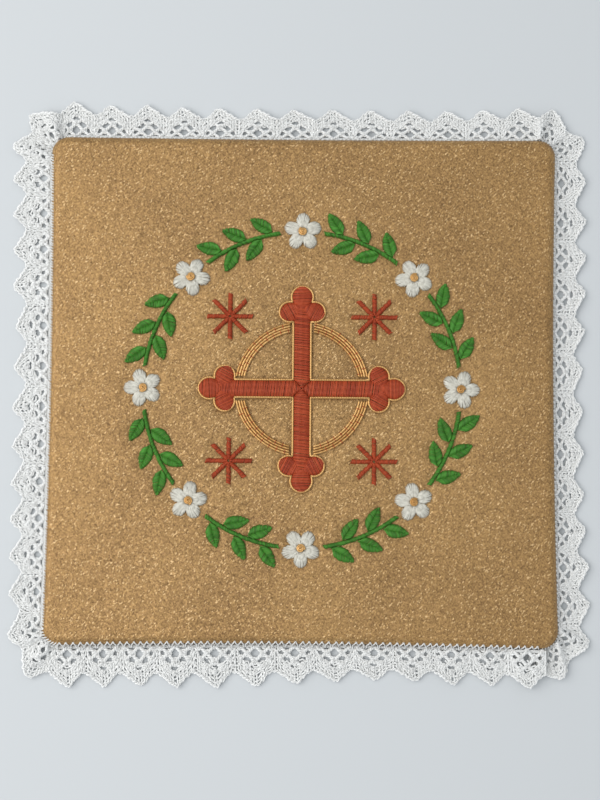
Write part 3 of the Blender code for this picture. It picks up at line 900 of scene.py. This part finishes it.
# The stitches of an arm get shorter towards the middle of the cross, where they meet in a mitre.
along = np.arange(STITCH_PITCH, ARM_END, STITCH_PITCH)
half = np.minimum(along, ARM_HALF)
cross_fields = (
    (straight_stitches(along, half, ARM_LEAN * half), ARM_RISE),
    (lobe_stitches(SIDE_LOBE, 1, SIDE_HEADING), SIDE_RISE),
    (lobe_stitches(SIDE_LOBE, -1, -SIDE_HEADING), SIDE_RISE),
    (lobe_stitches(TIP_LOBE, 1, 0.0), TIP_RISE),
)
cross_parts = [
    satin_paths(stitches, rise, arm * QUARTER, steps=CROSS_STEPS)
    for arm in range(4)
    for stitches, rise in cross_fields
]
add_stitches("cross", np.concatenate(cross_parts), red_floss)

# %% Gold ring of couched cords
NIMBUS_RADII = np.array((17.2, 17.95, 18.7, 19.45)) * MM
NIMBUS_CLEAR = 0.55 * MM
NIMBUS_STEPS = 60
CORD_RADIUS = 0.37 * MM
CORD_HEIGHT = PAD_HEIGHT + 1.05 * CORD_RADIUS

for quarter in range(4):
    arcs = []
    for radius in NIMBUS_RADII:
        start = math.asin((ARM_HALF + NIMBUS_CLEAR + CORD_RADIUS) / radius)
        angles = np.linspace(quarter * QUARTER + start, (quarter + 1) * QUARTER - start, NIMBUS_STEPS)
        arcs.append(raised(circle_points(radius, angles), CORD_HEIGHT))
    name = f"nimbus_{quarter + 1}"
    add_stitches(name, np.array(arcs), gold_cord, CORD_RADIUS, CORD_SIDES)

# %% Stitches that hold the gold cords down
COUCHING_TURN = math.radians(7.4)
COUCHING_RADIUS = 0.11 * MM
COUCHING_RISE = 2.15 * CORD_RADIUS
COUCHING_REACH = CORD_RADIUS + 0.05 * MM
COUCHING_STEPS = 9
CROSS_CLEAR = 1.4 * MM

starts = []
ends = []
for angle in np.arange(0, FULL_TURN, COUCHING_TURN):
    aside = min(abs(math.cos(angle)), abs(math.sin(angle))) * NIMBUS_RADII.mean()
    if aside > ARM_HALF + CROSS_CLEAR:
        for first, shift in ((0, 0), (2, COUCHING_TURN / 2)):
            starts.append(circle_points(NIMBUS_RADII[first] - COUCHING_REACH, angle + shift))
            ends.append(circle_points(NIMBUS_RADII[first + 1] + COUCHING_REACH, angle + shift))
couching = satin_paths((starts, ends), COUCHING_RISE, steps=COUCHING_STEPS)
couching_mesh = thread_mesh("nimbus_couching", couching, COUCHING_RADIUS)
add_piece("nimbus_couching", couching_mesh, red_floss)

# %% Gold outline of the cross
BUD_SWEEP = math.radians(146)
BUD_STEPS = 60
OUTLINE_RADIUS = 0.36 * MM
OUTLINE_HEIGHT = CORD_HEIGHT + 0.1 * MM
OUTLINE_STEPS = 16


def bud_reach(angle):
    """Distance from the bud's centre to the outline of its three lobes."""
    far = 0.0
    for lobe, aside in ((SIDE_LOBE, -1), (TIP_LOBE, 0), (SIDE_LOBE, 1)):
        x, y = lobe["along"], lobe["aside"] * aside
        across = x * math.sin(angle) - y * math.cos(angle)
        if abs(across) < lobe["radius"]:
            toward = x * math.cos(angle) + y * math.sin(angle)
            far = max(far, toward + math.sqrt(lobe["radius"] ** 2 - across**2))
    return far


bud = []
for angle in np.linspace(-BUD_SWEEP, BUD_SWEEP, BUD_STEPS):
    x, y = circle_points(bud_reach(angle), angle) + (BUD_CENTRE, 0)
    if abs(y) > ARM_HALF or x > BUD_CENTRE:
        bud.append((x, y))
side = np.linspace(ARM_HALF, bud[0][0], OUTLINE_STEPS)
lower = [(x, -ARM_HALF) for x in side]
upper = [(x, ARM_HALF) for x in side[:0:-1]]
outline = [turned(lower + bud + upper, arm * QUARTER) for arm in range(4)]
outline = raised(np.concatenate((*outline, outline[0][:2])), OUTLINE_HEIGHT)
outline_mesh = thread_mesh("cross_outline", outline[None], OUTLINE_RADIUS, CORD_SIDES)
add_piece("cross_outline", outline_mesh, gold_cord)

# %% Stars of straight lines
STAR_DISTANCE = 30.0 * MM
STAR_POINTS = 8
STAR_EYE = 0.6 * MM
STAR_REACH = 6.6 * MM
STAR_LINE_HALF = 0.55 * MM
STAR_LEAN = 0.2 * MM
STAR_RISE = 0.62 * MM

along = np.arange(STAR_EYE, STAR_REACH, STITCH_PITCH)
half = np.minimum(STAR_LINE_HALF, along * math.tan(math.pi / STAR_POINTS))
ray = straight_stitches(along, half, STAR_LEAN)
for quarter in range(4):
    middle = (quarter + 0.5) * QUARTER
    centre = circle_points(STAR_DISTANCE, middle)
    angles = middle + FULL_TURN * np.arange(STAR_POINTS) / STAR_POINTS
    rays = [satin_paths(ray, STAR_RISE, angle, centre) for angle in angles]
    add_stitches(f"star_{quarter + 1}", np.concatenate(rays), red_floss)

# %% Sprays of leaves
WREATH_RADIUS = 46.5 * MM
FLOWERS = 8
STEM_HALF = 0.5 * MM
STEM_LEAN = 0.5 * MM
STEM_CLEAR = 6.6 * MM
STEM_RISE = 0.72 * MM
LEAF_LENGTH = 7.4 * MM
LEAF_WIDTH = 3.8 * MM
LEAF_POWER = 0.8
LEAF_TILT = math.radians(40)
LEAF_NECK = 0.7 * MM
LEAF_SLANT = 1.3 * MM
LEAF_RISE = 0.66 * MM
LEAF_PITCH = 1.1 * STITCH_PITCH

# How far before a leaf's tip its last stitch starts, how much further than the slant every stitch
# ends, the least that it reaches to the side, and how far it starts beyond the midrib.
TIP_CLEAR = 0.3 * MM
LEAF_PAST = 0.15 * MM
LEAF_LEAST = 0.25 * MM
MIDRIB_LAP = 0.1 * MM

# The leaves of a spray: the side, outer or inner, and the share of the stem.
SPRAY_LEAVES = ((1, 0.10), (1, 0.44), (1, 0.78), (-1, 0.26), (-1, 0.60))


def leaf_half(share):
    return LEAF_WIDTH / 2 * np.sin(math.pi * np.clip(share, 0, 1) ** LEAF_POWER) ** LEAF_POWER


def leaf_stitches():
    """Stitches slanting from the midrib of a leaf to its two sides."""
    starts = []
    ends = []
    for rib in np.arange(0, LEAF_LENGTH - TIP_CLEAR, LEAF_PITCH):
        edge = min(LEAF_LENGTH, rib + LEAF_SLANT * (1 - rib / LEAF_LENGTH) + LEAF_PAST)
        half = max(LEAF_LEAST, leaf_half(edge / LEAF_LENGTH))
        starts += [(rib, -MIDRIB_LAP), (rib + STITCH_PITCH / 2, MIDRIB_LAP)]
        ends += [(edge, half), (edge + STITCH_PITCH / 2, -half)]
    return starts, ends


leaf = leaf_stitches()
between = FULL_TURN / FLOWERS
clear = STEM_CLEAR / WREATH_RADIUS
for index in range(FLOWERS):
    first, length = between * index + clear, between - 2 * clear
    angles = np.arange(first, first + length, STITCH_PITCH / WREATH_RADIUS)
    inner = circle_points(WREATH_RADIUS - STEM_HALF, angles)
    outer = circle_points(WREATH_RADIUS + STEM_HALF, angles + STEM_LEAN / WREATH_RADIUS)
    spray = [satin_paths((inner, outer), STEM_RISE)]
    for side, share in SPRAY_LEAVES:
        angle = first + length * share
        root = circle_points(WREATH_RADIUS + side * (STEM_HALF + LEAF_NECK / 2), angle)
        spray.append(satin_paths(leaf, LEAF_RISE, angle + QUARTER - side * LEAF_TILT, root))
    add_stitches(f"spray_{index + 1}", np.concatenate(spray), green_floss)

# %% White flowers
PETALS = 5
PETAL_TURN = FULL_TURN / PETALS
PETAL_REACH = 5.6 * MM
PETAL_NOTCH = 2.7 * MM
PETAL_POWER = 0.7
PETAL_GATHER = 0.9
EYE_RADIUS = 1.4 * MM

# Two layers: how many stitches, where they start, their share of the petal's reach, and their rise.
FLOWER_LAYERS = (
    (90, 1.6 * MM, 1.0, 0.74 * MM),
    (55, 0.9 * MM, 0.72, 0.9 * MM),
)


def petal_reach(angle):
    petal = abs(np.cos(PETALS * angle / 2)) ** PETAL_POWER
    return PETAL_NOTCH + (PETAL_REACH - PETAL_NOTCH) * petal


def petal_stitches(count, start, end_share):
    """Stitches out from the eye, each drawn a little towards the middle of its petal."""
    angles = FULL_TURN * (np.arange(count) + 0.5) / count
    petal = np.round(angles / PETAL_TURN) * PETAL_TURN
    starts = circle_points(start, petal + (angles - petal) * PETAL_GATHER)
    return starts, circle_points(petal_reach(angles) * end_share, angles)


flower_places = []
for index in range(FLOWERS):
    facing = FULL_TURN * index / FLOWERS
    centre = circle_points(WREATH_RADIUS, facing)
    flower_places.append(centre)
    flower = [
        satin_paths(petal_stitches(count, start, end_share), rise, facing, centre)
        for count, start, end_share, rise in FLOWER_LAYERS
    ]
    add_stitches(f"flower_{index + 1}", np.concatenate(flower), white_floss)

# %% Gold eyes of the flowers
EYE_CORD = 0.3 * MM
EYE_TURNS = 2.4
EYE_STEPS = 70
EYE_HOLE = 0.1 * MM
EYE_HEIGHT = PAD_HEIGHT + 1.25 * MM
EYE_DOME = 0.35 * MM

share = np.linspace(0, 1, EYE_STEPS)
radius = (EYE_RADIUS - EYE_CORD) * (1 - share) + EYE_HOLE
for index, centre in enumerate(flower_places):
    angle = FULL_TURN * EYE_TURNS * share + index
    coil = raised(centre + circle_points(radius, angle), EYE_HEIGHT + EYE_DOME * share)
    add_stitches(f"flower_eye_{index + 1}", coil[None], gold_cord, EYE_CORD, CORD_SIDES)

# %% [markdown]
# ## Gold cloth over the pad
# The cloth is metallic, wrapped tight over the board and turned in below. It isn't quite flat: every
# stitch draws it down where the needle went in, and between the motifs it stands in soft ripples.
# A subdivided plane with a noise texture would put ripples anywhere, so the mesh is made of rings
# that follow the pad's outline, and each point asks how far the nearest needle hole is.

# %% Group: glittering weave
# Two sets of foil flakes: degrees from the cloth's own line, stretch, and flakes in a millimetre.
FINE_FLAKES = (42, 2.8, 5.6)
COARSE_FLAKES = (-42, 2.6, 4.6)
PATCH_SCALE = 0.03
PATCH_SHARE = 0.5

weave_group, entry, leave = new_group(
    "glittering_weave",
    {"Tilt": ("Float", 0.27), "Contrast": ("Float", 0.58), "Painted glint share": ("Float", 0.05)},
    {"Tone": "Float", "Glint": "Float", "Painted glint": "Float", "Normal": "Vector"},
)
place = millimetres(weave_group)


def flakes(tree, coordinates, degrees, stretch, per_millimetre):
    """Random red, green and blue for each float of foil, turned on the face and drawn out."""
    inputs = {"Vector": coordinates, "Rotation": (0, 0, math.radians(degrees)), "Scale": (1, stretch, 1)}
    strokes = add_node(tree, "Mapping", inputs, vector_type="TEXTURE").outputs["Vector"]
    return add_node(tree, "TexVoronoi", {"Vector": strokes, "Scale": per_millimetre}).outputs["Color"]


fine = flakes(weave_group, place, *FINE_FLAKES)
coarse = flakes(weave_group, place, *COARSE_FLAKES)
both = vector_node(weave_group, "ADD", {0: fine, 1: coarse})
tilt = vector_node(weave_group, "SUBTRACT", {0: both, 1: (1.0, 1.0, 1.0)})
tilt = vector_node(weave_group, "SCALE", {0: tilt, "Scale": entry.outputs["Tilt"]})
surface = add_node(weave_group, "NewGeometry", {})
leaning = vector_node(weave_group, "ADD", {0: surface.outputs["Normal"], 1: tilt})
leaning = vector_node(weave_group, "NORMALIZE", {0: leaning})
fine = parts_of(weave_group, fine)
coarse = parts_of(weave_group, coarse)
speck = math_node(weave_group, "ADD", fine["Z"], coarse["Z"])
speck = math_node(weave_group, "SUBTRACT", speck, 1.0)
speck = math_node(weave_group, "MULTIPLY", speck, entry.outputs["Contrast"])
patch = noise_value(weave_group, place, PATCH_SCALE, detail=1)
patch = math_node(weave_group, "MULTIPLY_ADD", patch, PATCH_SHARE, (1 - PATCH_SHARE) / 2)
tone = math_node(weave_group, "ADD", speck, patch)
# A few coarse flakes are picked for a painted glint: their colour is made lighter to stand for a
# highlight, which no lamp makes.
painted_glint = math_node(weave_group, "LESS_THAN", coarse["X"], entry.outputs["Painted glint share"])
for label, made in (("Normal", leaning), ("Tone", tone), ("Glint", fine["Y"]), ("Painted glint", painted_glint)):
    join_nodes(weave_group, made, leave.inputs[label])
print("group", weave_group.name, "has", len(weave_group.nodes), "nodes")

# %% Gold cloth material
GOLD_DARK = (0.17, 0.088, 0.028, 1)
GOLD_LIGHT = (0.475, 0.284, 0.105, 1)
# The colour of those few flakes is a painted glint, a highlight painted into the cloth's colour.
GOLD_PAINTED_GLINT = (0.57, 0.38, 0.18, 1)
GOLD_ROUGHNESS = 0.58
GLINT_POWER = 3.0
GLINT_SHINE = 0.4

gold_cloth, tree, shader = new_material("gold_cloth", {"Roughness": 0.5, "Metallic": 0.45})
weave = add_node(tree, "Group", {}, node_tree=weave_group).outputs
gold_colour = mix_colours(tree, weave["Tone"], GOLD_DARK, GOLD_LIGHT)
# The painted glints are mixed into the cloth's colour here.
gold_colour = mix_colours(tree, weave["Painted glint"], gold_colour, GOLD_PAINTED_GLINT)
glint = math_node(tree, "POWER", weave["Glint"], GLINT_POWER)
rough = math_node(tree, "MULTIPLY_ADD", glint, -GLINT_SHINE, GOLD_ROUGHNESS)
for label, made in (("Base Color", gold_colour), ("Roughness", rough), ("Normal", weave["Normal"])):
    join_nodes(tree, made, shader.inputs[label])
print("gold cloth has", len(tree.nodes), "nodes")

# %% Rings of the cloth
TOP_ROUND = 2.4 * MM
BOTTOM_ROUND = 1.0 * MM
CORNER_STEPS = 10
SIDE_STEPS = 110
TOP_RINGS = 96
BOTTOM_RINGS = 14
TOP_ROUND_STEPS = 8
BOTTOM_ROUND_STEPS = 4


def outline_ring(offset):
    """The pad's outline, moved in or out, as evenly spaced points."""
    stages = np.repeat(np.arange(4), CORNER_STEPS + SIDE_STEPS)
    turn = np.tile(np.concatenate((np.arange(CORNER_STEPS) / CORNER_STEPS, np.ones(SIDE_STEPS))), 4)
    along = np.concatenate((np.zeros(CORNER_STEPS), SIDE_RUN * np.arange(SIDE_STEPS) / SIDE_STEPS))
    return edge_place(stages, turn, np.tile(along, 4), np.full(len(stages), offset))


def cloth_rings():
    """Rings of (x, y, z) from the middle of the underside over the edge to the middle of the face."""
    bottom, top = outline_ring(-BOTTOM_ROUND), outline_ring(-TOP_ROUND)
    rings = [raised(bottom * share, 0.0) for share in np.arange(1, BOTTOM_RINGS + 1) / BOTTOM_RINGS]
    for angle in np.linspace(0, QUARTER, BOTTOM_ROUND_STEPS + 1)[1:]:
        inset = BOTTOM_ROUND * (1 - math.sin(angle))
        rings.append(raised(outline_ring(-inset), BOTTOM_ROUND * (1 - math.cos(angle))))
    for angle in np.linspace(0, QUARTER, TOP_ROUND_STEPS + 1):
        inset = TOP_ROUND * (1 - math.cos(angle))
        rings.append(raised(outline_ring(-inset), PAD_HEIGHT - TOP_ROUND * (1 - math.sin(angle))))
    rings += [raised(top * share, PAD_HEIGHT) for share in 1 - np.arange(1, TOP_RINGS) / TOP_RINGS]
    return np.array(rings)


rings = cloth_rings()
print("cloth has", rings.shape[0], "rings of", rings.shape[1], "points")

# %% Ripples and needle pulls
PULL_DEPTH = 0.2 * MM
PULL_REACH = 1.1 * MM
RIPPLE_HEIGHT = 0.06 * MM
RIPPLE_LENGTHS = (5, 26)
RIPPLE_POWER = 0.7
RIPPLES = 26
WORKED_RADIUS = 58 * MM
WORKED_FADE = 12 * MM
PLAIN_SHARE = 0.45
FACE_BAND = 0.4 * TOP_ROUND
FACE_START = PAD_HEIGHT - FACE_BAND

needle_holes = np.concatenate(stitch_ends)
hole_tree = KDTree(len(needle_holes))
for index, (x, y) in enumerate(needle_holes):
    hole_tree.insert((x, y, 0), index)
hole_tree.balance()


def cloth_ripples(x, y):
    """Soft waves of many lengths and directions, stronger round the embroidery."""
    total = np.zeros_like(x)
    for _ in range(RIPPLES):
        length = random_numbers.uniform(*RIPPLE_LENGTHS) * MM
        heading = random_numbers.uniform(0, math.pi)
        phase = random_numbers.uniform(0, FULL_TURN)
        reach = (x * math.cos(heading) + y * math.sin(heading)) / length
        size = (length / (max(RIPPLE_LENGTHS) * MM)) ** RIPPLE_POWER
        total += np.sin(FULL_TURN * reach + phase) * size
    worked = smooth_step((WORKED_RADIUS + WORKED_FADE - np.hypot(x, y)) / (2 * WORKED_FADE))
    return RIPPLE_HEIGHT * total / math.sqrt(RIPPLES) * (PLAIN_SHARE + (1 - PLAIN_SHARE) * worked)


face = rings[..., 2] > FACE_START
spots = rings[face]
near = np.array([hole_tree.find((x, y, 0))[2] for x, y, _ in spots])
pull = PULL_DEPTH * np.exp(-((near / PULL_REACH) ** 2))
fade = smooth_step((spots[:, 2] - FACE_START) / FACE_BAND)
spots[:, 2] += fade * (cloth_ripples(spots[:, 0], spots[:, 1]) - pull)
rings[face] = spots
print("cloth is drawn down by", round(float(pull.max()) / MM, 2), "mm at the needle holes")

# %% Cover of the pad
def ring_mesh(name, rings):
    """A closed mesh over the rings, with a point in the middle of its two ends."""
    count, around, _ = rings.shape
    ring = np.arange(count)[:, None] * around
    here = np.arange(around)
    beyond = (here + 1) % around
    low, high = ring[:-1], ring[1:]
    walls = np.stack((low + here, low + beyond, high + beyond, high + here), axis=-1).reshape(-1, 4)
    first, last = count * around, count * around + 1
    bottom = np.stack((np.full(around, first), beyond, here), axis=-1)
    top = np.stack((np.full(around, last), ring[-1] + here, ring[-1] + beyond), axis=-1)
    middle = np.array(((0, 0, 0), (0, 0, rings[-1, :, 2].mean())))
    corners = np.concatenate((rings.reshape(-1, 3), middle))
    return mesh_from_faces(name, corners, walls, bottom, top)


cover_mesh = ring_mesh("pad_cover", rings)
pad_cover = add_piece("pad_cover", cover_mesh, gold_cloth, replaces="pad")

# %% [markdown]
# ## Sewing that holds the lace on
# The lace is overcast to the pad: the thread comes up through the foot of the lace, over the edge
# of the cloth and in again. On the left and near sides the stitches climb over onto the face, and on
# the other two they stay down on the edge, so they hardly show from above.

# %% Overcast stitches
# A row for each side, numbered as before: stitch pitch, degrees climbed, slant and width as shares of
# the pitch, and how far out in the lace the needle goes. Lengths are in millimetres.
OVERCAST = (
    {"pitch": 1.3, "climb": 12, "slant": 0.5, "width": 0.0, "foot": 0.25},
    {"pitch": 1.3, "climb": 12, "slant": 0.5, "width": 0.0, "foot": 0.25},
    {"pitch": 0.8, "climb": 42, "slant": 1.5, "width": 0.0, "foot": 0.3},
    {"pitch": 1.95, "climb": 46, "slant": 0.1, "width": 1.0, "foot": 1.2},
)
SEWING_RADIUS = 0.21 * MM
SEWING_START = 0.4 * MM
SEWING_JITTER = 0.12
SEWING_CLEAR = 0.7 * SEWING_RADIUS
SEWING_DIP = 0.25 * MM
SEWING_STEPS = 6
CORNER_STITCHES = 9

# A stitch meets the pad's round edge at this many degrees, and at its other end it goes into the
# cloth this much of a radian past the climb.
FIRST_CLIMB = 5
LAST_TURN = 0.1

# Where the needle comes up through the lace: how far under it a stitch starts, how far over it the
# thread turns to the pad, and the share of its distance from the pad that is left there.
NEEDLE_UNDER = 0.2 * MM
NEEDLE_OVER = 0.2 * MM
NEEDLE_SHARE = 0.9


def overcast_leg(foot, climb, foot_height):
    """Distances off the outline and heights from the foot of the lace up round the pad's edge."""
    base = PAD_HEIGHT - TOP_ROUND
    over, under = TOP_ROUND + SEWING_CLEAR, TOP_ROUND - SEWING_DIP
    angles = np.radians(np.linspace(FIRST_CLIMB, climb, SEWING_STEPS))
    end = angles[-1] + LAST_TURN
    out = over * np.cos(angles) - TOP_ROUND
    out = (foot, foot * NEEDLE_SHARE, *out, under * math.cos(end) - TOP_ROUND)
    rise = base + over * np.sin(angles)
    rise = (foot_height - NEEDLE_UNDER, foot_height + NEEDLE_OVER, *rise, base + under * math.sin(end))
    return np.array(out), np.array(rise)


def overcast_paths(stage, turn, along, row, pitch):
    """Stitches over the pad's edge: single slanting ones, or pairs of legs where they have a width."""
    out, rise = overcast_leg(row["foot"] * MM, row["climb"], FOOT_HEIGHTS[stage])
    share = np.linspace(0, 1, len(out))
    legs = []
    for side in (-1, 1) if row["width"] else (0,):
        shift = row["slant"] * (share - 0.5) + side * row["width"] / 2 * (1 - share)
        shift = along[:, None] + pitch * shift
        shape = np.ones_like(shift)
        place = edge_place(stage * shape, turn[:, None] * shape, shift, out * shape)
        legs.append(raised(place, rise))
    return np.concatenate(legs)


overcast = []
for side, row in enumerate(OVERCAST):
    pitch = row["pitch"] * MM
    along = np.arange(SEWING_START, SIDE_RUN, pitch)
    along = along + random_numbers.uniform(-SEWING_JITTER, SEWING_JITTER, len(along)) * pitch
    overcast.append(overcast_paths(side, np.ones(len(along)), along, row, pitch))
    turn = (np.arange(CORNER_STITCHES) + 0.5) / CORNER_STITCHES
    shorter = min(row, OVERCAST[side - 1], key=lambda one: one["foot"])
    overcast.append(overcast_paths(side, turn, np.zeros(CORNER_STITCHES), shorter, pitch / 2))
add_cotton("overcast_stitches", np.concatenate(overcast), SEWING_RADIUS)
